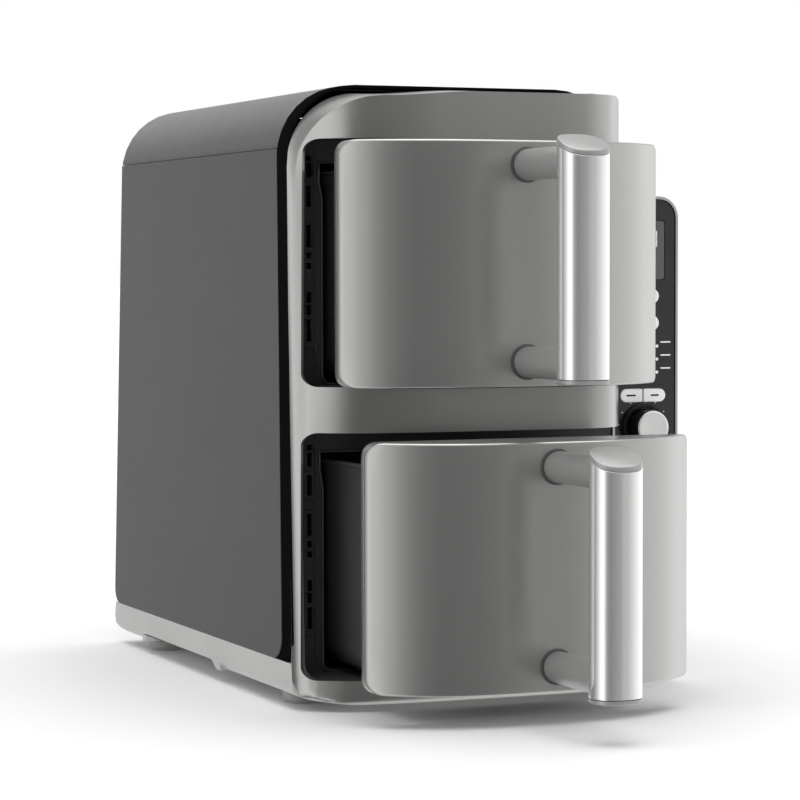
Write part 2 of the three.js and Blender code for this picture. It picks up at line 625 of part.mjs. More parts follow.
function makeHandle(prefix, face, storey) {
  const lift = PITCH * storey;
  const axis = face - HANDLE_REACH;
  const low = GRIP_LOW + lift;
  const high = GRIP_HIGH + lift;
  const rear = axis + GRIP_HALF_DEPTH + 1;
  const drop = GRIP_SLOPE * (2 * GRIP_HALF_DEPTH + 2);
  const under = (down) => prismX([
    [rear, low], [rear, high - down], [axis - GRIP_HALF_DEPTH - 1, high - drop - down],
    [axis - GRIP_HALF_DEPTH - 1, low]], MIDDLE - 20, MIDDLE + 20);
  const bar = prismZ(gripSection(face, 0), low, high);
  const wrapBack = axis + 7;
  const ahead = (y) => block(MIDDLE - 20, MIDDLE + 20, axis - 20, y, low - 1, high + 1);
  const wrapInside = prismZ(gripSection(face, 1.8), low - 1, high + 1);
  const wrap = bar.intersect(under(2.4)).intersect(ahead(wrapBack)).subtract(wrapInside);
  place(`${prefix}_handle_cover`, wrap, CHROME);

  const wrapRoom = bar.intersect(under(2.4 - GAP)).intersect(ahead(wrapBack + GAP))
    .subtract(prismZ(gripSection(face, 1.8 + GAP), low - 1, high + 1));
  const posts = POST_HEIGHTS.map((z) => rodY(MIDDLE, z + lift, POST_RADIUS, axis + 6, face - GAP, 20));
  const bores = POST_HEIGHTS.map((z) => rodY(MIDDLE, z + lift, 2.7, face - 14, face + 1, 8));
  const core = bar.intersect(under(0)).subtract(wrapRoom);
  place(`${prefix}_handle_grip`, cutBy(joined([core, ...posts]), bores), GREY_PLASTIC);

  for (const [end, z] of [['lower', POST_HEIGHTS[0]], ['upper', POST_HEIGHTS[1]]]) {
    const screw = joined([
      rodY(MIDDLE, z + lift, 2.3, face - 12, face + 4, 8),
      rodY(MIDDLE, z + lift, 4.5, face + 3.4, face + 6, 12),
    ]);
    place(`${prefix}_handle_${end}_screw`, screw, STEEL);
  }
}

function basketOutlines(face, storey, inset) {
  const lift = PITCH * storey;
  const { half, low, high, length, setback } = BASKET;
  const front = face + setback;
  const section = roundedBox(MIDDLE - half + inset, MIDDLE + half - inset, low + lift + inset,
    high + lift + (inset > 0 ? 5 : 0), [16 - inset, 16 - inset, 0, 0]);
  const plan = roundedBox(MIDDLE - half + inset, MIDDLE + half - inset, front + inset,
    front + length - inset, 18 - inset);
  return { section, plan, front, back: front + length, lift };
}

function makeBasket(prefix, face, storey) {
  const outer = basketOutlines(face, storey, 0);
  const inner = basketOutlines(face, storey, BASKET.wall);
  const solid = ({ section, plan }) => prismY(section, face, face + 400)
    .intersect(prismZ(plan, 0, TOP));
  const rimOutline = roundedBox(MIDDLE - BASKET.half - 3, MIDDLE + BASKET.half + 3,
    outer.front - 2.6, outer.back + 3, 20);
  const top = BASKET.high + outer.lift;
  const rim = prismZ(rimOutline, top - 2, top);
  const slots = [];
  for (let i = -3; i <= 3; i += 1) {
    slots.push(block(MIDDLE + i * 18 - 4, MIDDLE + i * 18 + 4, outer.back - 10, outer.back + 10,
      top - 75, top - 12));
  }
  place(`${prefix}_basket`, cutBy(solid(outer).add(rim), [solid(inner), ...slots]), COATED);
}

function makeCrisperPlate(prefix, face, storey) {
  const { plan, front, lift } = basketOutlines(face, storey, 4.5);
  const z = PLATE_HEIGHT + lift;
  const plate = prismZ(plan, z - 2, z);
  const cuts = [];
  for (let row = 0; row < 7; row += 1) {
    for (let column = -2; column <= 2; column += 1) {
      const x = MIDDLE + column * 31;
      const y = front + 40 + row * 32;
      cuts.push(block(x - 10, x + 10, y - 3, y + 3, z - 5, z + 5));
    }
  }
  const legs = [];
  for (const x of [MIDDLE - 62, MIDDLE + 62]) {
    for (const y of [front + 24, front + BASKET.length - 24]) {
      legs.push(block(x - 5, x + 5, y - 5, y + 5, BASKET.low + BASKET.wall + lift + GAP, z - 1));
    }
  }
  place(`${prefix}_crisper_plate`, cutBy(joined([plate, ...legs]), cuts), COATED);
}

function makeRack(prefix, face, storey) {
  const { front, lift } = basketOutlines(face, storey, 0);
  const top = 94 + lift;
  const wire = 1.6;
  const bars = [];
  for (const x of [-62, -31, 0, 31, 62]) {
    bars.push(block(MIDDLE + x - wire, MIDDLE + x + wire, front + 30, front + 245, top - 3, top));
  }
  for (let i = 0; i < 8; i += 1) {
    const y = front + 32 + i * (211 / 7);
    bars.push(block(MIDDLE - 62, MIDDLE + 62, y - wire, y + wire, top - 4.5, top - 1.5));
  }
  for (const x of [-62, 62]) {
    for (const y of [front + 62, front + 213]) {
      bars.push(block(MIDDLE + x - wire, MIDDLE + x + wire, y - wire, y + wire,
        PLATE_HEIGHT + lift + GAP, top - 1));
    }
  }
  place(`${prefix}_rack`, joined(bars), STEEL);
}

function makeDrawer(prefix, storey) {
  const face = CLOSED_FRONT - OPEN[prefix];
  const lift = PITCH * storey;
  const shell = drawerShell(face, storey, 0, FRONT_RIM)
    .subtract(drawerShell(face, storey, 3, FRONT_RIM + 5));
  const bores = POST_HEIGHTS.map((z) => rodY(MIDDLE, z + lift, 2.7, face - 5, face + 8, 8));
  place(`${prefix}_drawer_front`, cutBy(shell, bores), FRONT_PAINT);
  const backing = roundedBox(MIDDLE - FRONT_HALF + 3.4, MIDDLE + FRONT_HALF - 3.4,
    FRONT_LOW + lift + 3.4, FRONT_HIGH + lift - 3.4, 6);
  place(`${prefix}_drawer_backing`, prismY(backing, face + 39.4, face + 41.6), BLACK_PLASTIC);
  makeHandle(prefix, face, storey);
  makeBasket(prefix, face, storey);
  makeCrisperPlate(prefix, face, storey);
  makeRack(prefix, face, storey);
}

makeTopCover();
makeSidePanels();
makeArchTrim();
makeBezel();
makeBase();
makeFeet();
makeBackPanel();
makeMouthFrame('lower_mouth_frame', 0);
makeMouthFrame('upper_mouth_frame', 1);
makeCavity('lower', 0);
makeCavity('upper', 1);
makeDivider();
makeControls();
makeDrawer('lower', 0);
makeDrawer('upper', 1);

// The origin is the middle of the object's footprint, on the surface that it stands on.
const foremost = CLOSED_FRONT - OPEN.lower - HANDLE_REACH - GRIP_HALF_DEPTH;
airFryer.position.y = -(foremost + rearEdge(PANEL_FOOT)) / 2;

export default airFryer;
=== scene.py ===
# The looks of the air fryer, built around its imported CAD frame. Run by Blender 4.5.
# Shapes are written in the CAD's design frame: millimetres, X right, -Y front, Z up, with Y = 0 at the
# front edge of the top cover. place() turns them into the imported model's metres.
import json
import math

import bmesh
import bpy
from mathutils import Matrix, Vector


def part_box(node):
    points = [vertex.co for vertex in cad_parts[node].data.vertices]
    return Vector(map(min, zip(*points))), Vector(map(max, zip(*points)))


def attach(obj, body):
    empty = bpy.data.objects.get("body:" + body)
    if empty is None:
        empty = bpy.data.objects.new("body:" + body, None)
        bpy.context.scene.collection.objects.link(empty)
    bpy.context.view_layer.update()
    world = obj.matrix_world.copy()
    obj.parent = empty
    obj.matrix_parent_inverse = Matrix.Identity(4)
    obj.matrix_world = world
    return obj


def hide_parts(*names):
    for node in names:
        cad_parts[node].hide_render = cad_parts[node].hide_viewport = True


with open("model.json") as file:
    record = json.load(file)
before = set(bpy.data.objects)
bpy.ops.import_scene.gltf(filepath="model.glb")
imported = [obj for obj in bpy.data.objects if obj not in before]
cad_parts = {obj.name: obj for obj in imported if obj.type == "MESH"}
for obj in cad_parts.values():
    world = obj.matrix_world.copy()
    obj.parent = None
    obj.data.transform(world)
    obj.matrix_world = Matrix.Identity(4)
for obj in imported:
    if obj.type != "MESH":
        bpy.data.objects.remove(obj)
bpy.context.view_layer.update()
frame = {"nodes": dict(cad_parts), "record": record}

MM = 0.001
COVER_SETBACK = 0.3                     # top cover behind the design frame's Y = 0
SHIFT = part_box("top_cover")[0].y / MM - COVER_SETBACK
PITCH = 179.5                           # lower storey to upper storey
STOREYS = ("lower", "upper")


def place(x, y, z):
    return Vector((x * MM, (y + SHIFT) * MM, z * MM))


def low_corner(node):
    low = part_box(node)[0] / MM
    return Vector((low.x, low.y - SHIFT, low.z))


def high_corner(node):
    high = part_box(node)[1] / MM
    return Vector((high.x, high.y - SHIFT, high.z))


MIDDLE = (low_corner("upper_drawer_front").x + high_corner("upper_drawer_front").x) / 2


# ---- Camera and light ----
def make_camera():
    data = bpy.data.cameras.new("camera")
    data.lens = 130.5
    data.sensor_width = 36
    data.clip_end = 50
    camera = bpy.data.objects.new("camera", data)
    bpy.context.scene.collection.objects.link(camera)
    yaw, pitch, roll = (math.radians(a) for a in (22.62, -2.59, -0.11))
    ahead = Vector((math.sin(yaw) * math.cos(pitch), math.cos(yaw) * math.cos(pitch), math.sin(pitch)))
    level = Vector((math.cos(yaw), -math.sin(yaw), 0))
    upright = level.cross(ahead)
    right = level * math.cos(roll) + upright * math.sin(roll)
    above = upright * math.cos(roll) - level * math.sin(roll)
    turn = Matrix((right, above, -ahead)).transposed()
    camera.matrix_world = Matrix.Translation(place(-758.3, -1691.6, 271.1)) @ turn.to_4x4()
    bpy.context.scene.camera = camera


# Brightness of the studio by compass direction: degrees from straight in front of the fryer towards its right.
STUDIO = [(-180, 0.9), (-168, 0.7), (-158, 0.14), (-148, 0.05), (-120, 0.4), (-90, 1.1), (-68, 1.4), (-57, 0.85),
          (-46, 0.34), (-36, 0.16), (-20, 0.08), (4, 0.15), (20, 0.22), (34, 0.55), (56, 0.9), (78, 1.05), (104, 1.5),
          (130, 1.0), (160, 0.7), (180, 0.9)]


def make_studio():
    world = bpy.data.worlds.new("studio")
    bpy.context.scene.world = world
    world.use_nodes = True
    tree = world.node_tree
    tree.nodes.clear()
    add = tree.nodes.new
    link = tree.links.new
    direction = add("ShaderNodeTexCoord")
    split = add("ShaderNodeSeparateXYZ")
    link(direction.outputs["Generated"], split.inputs[0])
    flip = add("ShaderNodeMath")
    flip.operation = "MULTIPLY"
    flip.inputs[1].default_value = -1
    link(split.outputs["Y"], flip.inputs[0])
    compass = add("ShaderNodeMath")
    compass.operation = "ARCTAN2"
    link(split.outputs["X"], compass.inputs[0])
    link(flip.outputs[0], compass.inputs[1])
    spread = add("ShaderNodeMapRange")
    spread.inputs["From Min"].default_value = -math.pi
    spread.inputs["From Max"].default_value = math.pi
    link(compass.outputs[0], spread.inputs["Value"])
    ramp = add("ShaderNodeValToRGB")
    elements = ramp.color_ramp.elements
    while len(elements) < len(STUDIO):
        elements.new(0.5)
    for element, (angle, level) in zip(elements, STUDIO):
        element.position = (angle + 180) / 360
        element.color = (level / 2, level / 2, level / 2, 1)
    link(spread.outputs[0], ramp.inputs[0])
    rise = add("ShaderNodeMapRange")
    rise.inputs["From Min"].default_value = 0.25
    rise.inputs["From Max"].default_value = 0.85
    link(split.outputs["Z"], rise.inputs["Value"])
    overhead = add("ShaderNodeMix")
    overhead.data_type = "RGBA"
    link(rise.outputs[0], overhead.inputs["Factor"])
    link(ramp.outputs["Color"], overhead.inputs["A"])
    overhead.inputs["B"].default_value = (0.28, 0.28, 0.28, 1)
    room = add("ShaderNodeBackground")
    room.inputs["Strength"].default_value = 2
    link(overhead.outputs["Result"], room.inputs["Color"])
    backdrop = add("ShaderNodeBackground")
    backdrop.inputs["Color"].default_value = (1, 1, 1, 1)
    path = add("ShaderNodeLightPath")
    mix = add("ShaderNodeMixShader")
    link(path.outputs["Is Camera Ray"], mix.inputs[0])
    link(room.outputs[0], mix.inputs[1])
    link(backdrop.outputs[0], mix.inputs[2])
    out = add("ShaderNodeOutputWorld")
    link(mix.outputs[0], out.inputs["Surface"])

    sun = bpy.data.lights.new("overhead", "SUN")
    sun.energy = 2.1
    sun.angle = math.radians(70)
    lamp = bpy.data.objects.new("overhead", sun)
    bpy.context.scene.collection.objects.link(lamp)
    bpy.context.scene.view_settings.view_transform = "Standard"


def make_floor():
    mesh = bpy.data.meshes.new("floor")
    size = 40
    mesh.from_pydata([(-size, -size, 0), (size, -size, 0), (size, size, 0), (-size, size, 0)], [], [(0, 1, 2, 3)])
    floor = bpy.data.objects.new("floor", mesh)
    bpy.context.scene.collection.objects.link(floor)
    sweep = bpy.data.materials.new("floor")
    sweep.use_nodes = True
    shader = sweep.node_tree.nodes["Principled BSDF"]
    shader.inputs["Base Color"].default_value = (0.9, 0.9, 0.9, 1)
    shader.inputs["Roughness"].default_value = 0.9
    shader.inputs["Specular IOR Level"].default_value = 0.1
    mesh.materials.append(sweep)
    floor.visible_glossy = False


# ---- Materials ----
class Finish:
    """A procedural material: a base colour with faint mottling, uneven roughness and a fine grain."""

    def __init__(self, name, colour, roughness, metallic=0.0):
        self.material = bpy.data.materials.new(name)
        self.material.use_nodes = True
        self.tree = self.material.node_tree
        self.shader = self.tree.nodes["Principled BSDF"]
        self.colour = colour
        self.roughness = roughness
        self.shader.inputs["Metallic"].default_value = metallic
        self.space = self.tree.nodes.new("ShaderNodeTexCoord").outputs["Object"]
        self.bumps = None

    def new(self, kind):
        return self.tree.nodes.new("ShaderNode" + kind)

    def link(self, a, b):
        self.tree.links.new(a, b)

    def noise(self, scale, detail=2.0, stretch=(1, 1, 1), rough=0.5):
        mapping = self.new("Mapping")
        mapping.inputs["Scale"].default_value = stretch
        self.link(self.space, mapping.inputs["Vector"])
        noise = self.new("TexNoise")
        noise.inputs["Scale"].default_value = scale
        noise.inputs["Detail"].default_value = detail
        noise.inputs["Roughness"].default_value = rough
        self.link(mapping.outputs[0], noise.inputs["Vector"])
        return noise.outputs["Fac"]

    def ranged(self, value, low, high, start=0.3, end=0.7):
        spread = self.new("MapRange")
        spread.inputs["From Min"].default_value = start
        spread.inputs["From Max"].default_value = end
        spread.inputs["To Min"].default_value = low
        spread.inputs["To Max"].default_value = high
        self.link(value, spread.inputs["Value"])
        return spread.outputs[0]

    def mottled(self, scale, amount, tint=(1, 1, 1)):
        """The base colour varies by amount over patches of 1 / scale metres."""
        mix = self.new("Mix")
        mix.data_type = "RGBA"
        self.link(self.ranged(self.noise(scale, 3), 0, 1), mix.inputs["Factor"])
        darker = [c * (1 - amount) for c in self.colour]
        lighter = [min(c * (1 + amount) * t, 1) for c, t in zip(self.colour, tint)]
        mix.inputs["A"].default_value = (*darker, 1)
        mix.inputs["B"].default_value = (*lighter, 1)
        self.link(mix.outputs["Result"], self.shader.inputs["Base Color"])
        return self

    def uneven(self, scale, amount):
        """The roughness varies by amount over patches of 1 / scale metres."""
        value = self.ranged(self.noise(scale, 4), self.roughness - amount, self.roughness + amount)
        self.link(value, self.shader.inputs["Roughness"])
        return self

    def bump(self, height, strength, distance):
        bump = self.new("Bump")
        bump.inputs["Strength"].default_value = strength
        bump.inputs["Distance"].default_value = distance
        self.link(height, bump.inputs["Height"])
        if self.bumps:
            self.link(self.bumps, bump.inputs["Normal"])
        self.bumps = bump.outputs[0]
        self.link(self.bumps, self.shader.inputs["Normal"])
        return self

    def grain(self, scale, strength, stretch=(1, 1, 1), distance=0.0002):
        return self.bump(self.noise(scale, 2, stretch), strength, distance)

    def brushed(self, direction, scale=900, strength=0.12):
        """Fine scratches along a direction: small numbers stretch the noise that way."""
        streaks = self.noise(scale, 3, direction)
        self.link(self.ranged(streaks, self.roughness - 0.06, self.roughness + 0.06),
                  self.shader.inputs["Roughness"])
        return self.bump(streaks, strength, 0.0001)

    def coated(self, weight, roughness=0.1):
        self.shader.inputs["Coat Weight"].default_value = weight
        self.shader.inputs["Coat Roughness"].default_value = roughness
        return self

    def dulled(self, level):
        self.shader.inputs["Specular IOR Level"].default_value = level
        return self

    def lit(self, strength):
        self.shader.inputs["Emission Color"].default_value = (1, 1, 1, 1)
        self.shader.inputs["Emission Strength"].default_value = strength
        return self

    def spun(self, amount):
        """Turned metal: the brushing runs in circles about Y."""
        tangent = self.new("Tangent")
        tangent.direction_type = "RADIAL"
        tangent.axis = "Y"
        self.link(tangent.outputs[0], self.shader.inputs["Tangent"])
        self.shader.inputs["Anisotropic"].default_value = amount
        return self

    def speckled(self, scale, colour, share):
        """Small dots of another colour, as in a non-stick coating."""
        cells = self.new("TexVoronoi")
        cells.inputs["Scale"].default_value = scale
        self.link(self.space, cells.inputs["Vector"])
        dots = self.ranged(cells.outputs["Distance"], 1, 0, share, share * 1.4)
        mix = self.new("Mix")
        mix.data_type = "RGBA"
        self.link(dots, mix.inputs["Factor"])
        source = self.shader.inputs["Base Color"].links
        if source:
            self.link(source[0].from_socket, mix.inputs["A"])
        mix.inputs["B"].default_value = (*colour, 1)
        self.link(mix.outputs["Result"], self.shader.inputs["Base Color"])
        return self


def make_finishes():
    def plain(name, colour, roughness, metallic=0.0, mottle=0.04, patch=18, wander=0.03):
        return Finish(name, colour, roughness, metallic).mottled(patch, mottle).uneven(60, wander)

    made = {
        "casing_paint": plain("casing_paint", (0.11, 0.112, 0.108), 0.33, 0.3, 0.02, 12, 0.012).grain(1400, 0.02),
        "bezel_grey": plain("bezel_grey", (0.45, 0.455, 0.44), 0.28, 0.78, 0.012, 9, 0.006),
        "front_paint": plain("front_paint", (0.46, 0.465, 0.45), 0.26, 0.8, 0.012, 9, 0.006),
        "trim_black": plain("trim_black", (0.006, 0.006, 0.006), 0.3).dulled(0.0),
        "base_grey": plain("base_grey", (0.62, 0.625, 0.61), 0.42, 0.1).grain(2200, 0.1),
        "inner_black": plain("inner_black", (0.06, 0.06, 0.057), 0.42).grain(1800, 0.2),
        "panel_gloss": plain("panel_gloss", (0.022, 0.022, 0.022), 0.14).coated(0.8, 0.05),
        "chrome_trim": plain("chrome_trim", (0.85, 0.85, 0.84), 0.1, 1.0, 0.02),
        "display_grey": plain("display_grey", (0.12, 0.125, 0.125), 0.2).coated(1.0, 0.04),
        "dial_black": plain("dial_black", (0.012, 0.012, 0.012), 0.26).grain(2500, 0.08),
        "dial_silver": plain("dial_silver", (0.98, 0.98, 0.96), 0.3, 0.2, 0.03).spun(0.75),
        "steel_parts": plain("steel_parts", (0.42, 0.42, 0.41), 0.35, 1.0).brushed((1, 0.1, 1)),
        "circuit_board": plain("circuit_board", (0.02, 0.14, 0.05), 0.4).grain(900, 0.3),
        "liner_steel": plain("liner_steel", (0.17, 0.17, 0.168), 0.5, 0.25).brushed((1, 0.05, 1)),
        "foot_rubber": plain("foot_rubber", (0.4, 0.4, 0.39), 0.7).grain(1500, 0.35),
        # key_white glows faintly: real light on the lit digits and LED dots, a painted glow on the white keys and the
        # printed marks.
        "key_white": plain("key_white", (0.93, 0.93, 0.92), 0.4).grain(3000, 0.05).lit(0.16),
        "chrome_cover": plain("chrome_cover", (0.93, 0.93, 0.92), 0.09, 0.78, 0.02).brushed((1, 1, 0.03), 500, 0.012),
        "handle_grey": plain("handle_grey", (0.4, 0.405, 0.395), 0.36, 0.45).grain(2400, 0.06),
        "basket_coating": plain("basket_coating", (0.08, 0.08, 0.078), 0.36, 0.2)
        .grain(700, 0.2).speckled(900, (0.15, 0.15, 0.15), 0.16),
        "rack_steel": plain("rack_steel", (0.7, 0.7, 0.69), 0.16, 1.0, 0.03),
    }
    return {name: finish.material for name, finish in made.items()}


FINISHES = make_finishes()
BODY_OF = {node: body for body, nodes in frame["record"]["behaviour"]["bodies"].items() for node in nodes}


def soften(node, slot, width, steps=2):
    """A CAD node keeps its mesh, and gets rounded edges and smooth shading from modifiers."""
    mesh = node.data
    if "custom_normal" in mesh.attributes:
        mesh.attributes.remove(mesh.attributes["custom_normal"])
    mesh.polygons.foreach_set("use_smooth", [True] * len(mesh.polygons))
    for sharp in ("sharp_edge", "sharp_face"):
        if sharp in mesh.attributes:
            mesh.attributes.remove(mesh.attributes[sharp])
    weld = node.modifiers.new("weld", "WELD")
    weld.merge_threshold = 2e-6
    round_edges(node, width, steps)
    mesh.materials.clear()
    mesh.materials.append(FINISHES[slot])


def round_edges(obj, width, steps=2, angle=28):
    bevel = obj.modifiers.new("bevel", "BEVEL")
    bevel.width = width * MM
    bevel.segments = steps
    bevel.limit_method = "ANGLE"
    bevel.angle_limit = math.radians(angle)
    bevel.use_clamp_overlap = True
    bevel.miter_outer = "MITER_ARC"
    normals = obj.modifiers.new("normals", "WEIGHTED_NORMAL")
    normals.keep_sharp = False
    normals.weight = 50


LOOKS = {"control_housing": "casing_paint"}      # nodes with another slot's finish


def finish_cad_nodes():
    slots = {s["node"]: s["material_slot"] for s in frame["record"]["subparts"]}
    for name, node in frame["nodes"].items():
        soften(node, LOOKS.get(name, slots[name]), 0.35)


# ---- Mesh building ----
def arc(cx, cy, radius, start, end, steps):
    angles = (math.radians(start + (end - start) * i / steps) for i in range(steps + 1))
    return [(cx + radius * math.cos(a), cy + radius * math.sin(a)) for a in angles]


def rounded_box(x0, x1, y0, y1, radius, steps=6):
    return (arc(x0 + radius, y0 + radius, radius, 180, 270, steps)
            + arc(x1 - radius, y0 + radius, radius, 270, 360, steps)
            + arc(x1 - radius, y1 - radius, radius, 0, 90, steps)
            + arc(x0 + radius, y1 - radius, radius, 90, 180, steps))


def built(name, points, faces):
    """A mesh object from design-frame points, with its faces turned outwards."""
    mesh = bpy.data.meshes.new(name)
    mesh.from_pydata([place(*p) for p in points], [], faces)
    work = bmesh.new()
    work.from_mesh(mesh)
    bmesh.ops.remove_doubles(work, verts=work.verts, dist=1e-6)
    bmesh.ops.recalc_face_normals(work, faces=work.faces)
    work.to_mesh(mesh)
    work.free()
    obj = bpy.data.objects.new(name, mesh)
    bpy.context.scene.collection.objects.link(obj)
    return obj


def skin(name, rings, loop=False):
    """A closed solid through rings of points, or a ring-shaped one if the last ring meets the first."""
    count = len(rings[0])
    points = [p for ring in rings for p in ring]
    faces = []
    spans = len(rings) if loop else len(rings) - 1
    for r in range(spans):
        a, b = r * count, ((r + 1) % len(rings)) * count
        faces += [(a + i, a + (i + 1) % count, b + (i + 1) % count, b + i) for i in range(count)]
    if not loop:
        faces += [tuple(range(count)), tuple(range(len(points) - count, len(points)))]
    return built(name, points, faces)


def turned(name, profile, centre, axis="y", sides=48, scale=(1, 1)):
    """A solid turned about an axis through centre; profile is (distance along it, radius) pairs."""
    cx, cy, cz = centre
    rings = []
    for along, radius in profile:
        circle = arc(0, 0, radius, 0, 360, sides)[:-1]
        if axis == "y":
            rings.append([(cx + u * scale[0], cy + along, cz + v * scale[1]) for u, v in circle])
        elif axis == "x":
            rings.append([(cx + along, cy + u * scale[0], cz + v * scale[1]) for u, v in circle])
        else:
            rings.append([(cx + u * scale[0], cy + v * scale[1], cz + along) for u, v in circle])
    return skin(name, rings)


def plate(name, outline, y0, y1):
    """A flat piece that faces the front: outline is in X and Z."""
    return skin(name, [[(x, y, z) for x, z in outline] for y in (y0, y1)])


def merged(name, parts):
    """Several loose meshes as one object."""
    work = bmesh.new()
    for part in parts:
        work.from_mesh(part.data)
        bpy.data.objects.remove(part)
    mesh = bpy.data.meshes.new(name)
    work.to_mesh(mesh)
    work.free()
    obj = bpy.data.objects.new(name, mesh)
    bpy.context.scene.collection.objects.link(obj)
    return obj


def rods(name, paths, radius, sides=12):
    """Round wire along each path; a path that ends where it starts is closed."""
    data = bpy.data.curves.new(name, "CURVE")
    data.dimensions = "3D"
    data.bevel_depth = radius * MM
    data.bevel_resolution = sides // 4
    data.use_fill_caps = True
    for path in paths:
        closed = path[0] == path[-1]
        stops = path[:-1] if closed else path
        spline = data.splines.new("POLY")
        spline.points.add(len(stops) - 1)
        spline.use_cyclic_u = closed
        for point, stop in zip(spline.points, stops):
            point.co = (*place(*stop), 1)
    curve = bpy.data.objects.new(name, data)
    bpy.context.scene.collection.objects.link(curve)
    bpy.context.view_layer.update()
    mesh = bpy.data.meshes.new_from_object(curve.evaluated_get(bpy.context.evaluated_depsgraph_get()))
    bpy.data.objects.remove(curve)
    obj = bpy.data.objects.new(name, mesh)
    bpy.context.scene.collection.objects.link(obj)
    return obj


def finish_piece(obj, slot, body, stands_for=(), bevel=0, smooth=38, material=None):
    mesh = obj.data
    mesh.materials.clear()
    mesh.materials.append(material or FINISHES[slot])
    mesh.polygons.foreach_set("use_smooth", [True] * len(mesh.polygons))
    mesh.set_sharp_from_angle(angle=math.radians(smooth))
    if bevel:
        round_edges(obj, bevel, 3)
    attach(obj, body)
    if stands_for:
        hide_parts(*stands_for)
    return obj


# ---- Bezel ----
BEZEL_RIGHT, BEZEL_FOOT, BEZEL_TOP = 84, 4, 379.6
ARCH = {"x": -91.1, "z": 336, "wide": 44.6, "tall": 43.5}       # its top left corner, within the dark band
CREST = {"left": -132.5, "top": 376.6, "radius": 44}     # the crease within it
OPENING = {"low": 19.5, "high": 171, "radius": 8}
PILLAR = (4.9, 6.3)                              # width beside the openings, at the foot and at the top
FACE_PROUD = 0.35                                # how far the face stands before the black frames' rims
HEEL = (34, 10)                                  # its lower left corner, wide and high


PLAN = [(-140, -26, 1), (-133.6, -31.2, 0.9), (-126, -38.3, 0.75), (-119, -44.3, 0.55), (-112.5, -49, 0.4),
        (-106, -52.5, 0.25), (-92, -57, 0.1), (-68, -60.3, 0), (-40, -61.5, 0), (0, -62, 0), (40, -62, 0),
        (56, -60.5, 0), (68, -55, 0), (77, -46, 0), (82.5, -35, 0), (84, -27, 0)]


def smooth_plan(x):
    """(y, share of the lean) of the bezel's plan at x, on a smooth curve through PLAN."""
    i = next((k for k in range(len(PLAN) - 1) if x <= PLAN[k + 1][0]), len(PLAN) - 2)
    a, b = PLAN[i], PLAN[i + 1]
    before, after = PLAN[max(i - 1, 0)], PLAN[min(i + 2, len(PLAN) - 1)]
    t = min(max((x - a[0]) / (b[0] - a[0]), 0), 1)
    width = b[0] - a[0]
    values = []
    for k in (1, 2):
        start = (b[k] - before[k]) / (b[0] - before[0]) * width
        end = (after[k] - a[k]) / (after[0] - a[0]) * width
        values.append((2 * t**3 - 3 * t**2 + 1) * a[k] + (t**3 - 2 * t**2 + t) * start
                      + (3 * t**2 - 2 * t**3) * b[k] + (t**3 - t**2) * end)
    return values


def lean(z):
    return 0.051 * (z - 185)


def side_left(z):
    return -139.8 + 0.0126 * max(z - 29.4, 0)


def outer_left(z):
    if z > ARCH["z"]:
        up = min((z - ARCH["z"]) / ARCH["tall"], 1)
        return ARCH["x"] - ARCH["wide"] * math.sqrt(1 - up**2)
    rise = max(HEEL[1] - (z - BEZEL_FOOT), 0) / HEEL[1]
    return side_left(z) + HEEL[0] * (1 - math.sqrt(1 - rise**2))


def opening_left(z):
    return side_left(min(z, 345)) + PILLAR[0] + (PILLAR[1] - PILLAR[0]) * (z - 60) / 285


def crease(z):
    top = CREST["top"] - CREST["radius"]
    reach = CREST["radius"] ** 2 - max(min(z, CREST["top"]) - top, 0) ** 2
    return CREST["left"] + CREST["radius"] - math.sqrt(max(reach, 0))


def outer_right(z):
    bend = 14
    over = min(max(z - (CREST["top"] - bend), 0), bend)
    under = max(5 - (z - BEZEL_FOOT), 0)
    return BEZEL_RIGHT - (bend - math.sqrt(bend**2 - over**2)) - (5 - math.sqrt(25 - under**2))


def bezel_y(x, z):
    """The bezel's face: its plan, and outside the crease a slope to the edge beside the dark band."""
    y, share = smooth_plan(x)
    face = y + share * lean(z) - FACE_PROUD
    tuck = 6 - (z - BEZEL_FOOT)
    if tuck > 0:
        face += 6 - math.sqrt(36 - min(tuck, 6) ** 2)
    centre_x, centre_z = CREST["left"] + CREST["radius"], CREST["top"] - CREST["radius"]
    if x < centre_x and z > centre_z:
        beyond = math.hypot(x - centre_x, z - centre_z) - CREST["radius"]
    elif z > centre_z:
        beyond = z - CREST["top"]
    else:
        beyond = CREST["left"] - x
    rim = -0.051 * max(345.6 - z, 0) - 17.6
    if z > ARCH["z"]:
        across = min(x - ARCH["x"], 0) / ARCH["wide"]
        inside = max(1 - math.hypot(across, (z - ARCH["z"]) / ARCH["tall"]), 0) * 45
    else:
        inside = max(x - outer_left(z), 0)
    sloping = 1 if beyond <= 0 else inside / (inside + beyond)
    rounded = math.sin(min(inside / 9, 1) * math.pi / 2)
    upper = min(max((z - 318) / 34, 0), 1)
    upper = upper * upper * (3 - 2 * upper)
    return rim + (face - rim) * (rounded + (sloping - rounded) * upper)


def between(a, b, count):
    return [a + (b - a) * i / count for i in range(1, count + 1)]


def bezel_row(z, stop=None):
    """X values across a row: edge, crease, a line beside the openings, and the rest up to the right edge."""
    left = outer_left(z)
    fold = max(crease(z), left + 0.5)
    if stop is None:
        beside = max(opening_left(z) + OPENING["radius"], fold + 1)
    else:
        fold, beside = min(fold, stop - 1.2), stop
    return [left] + between(left, fold, 4) + between(fold, beside, 8)


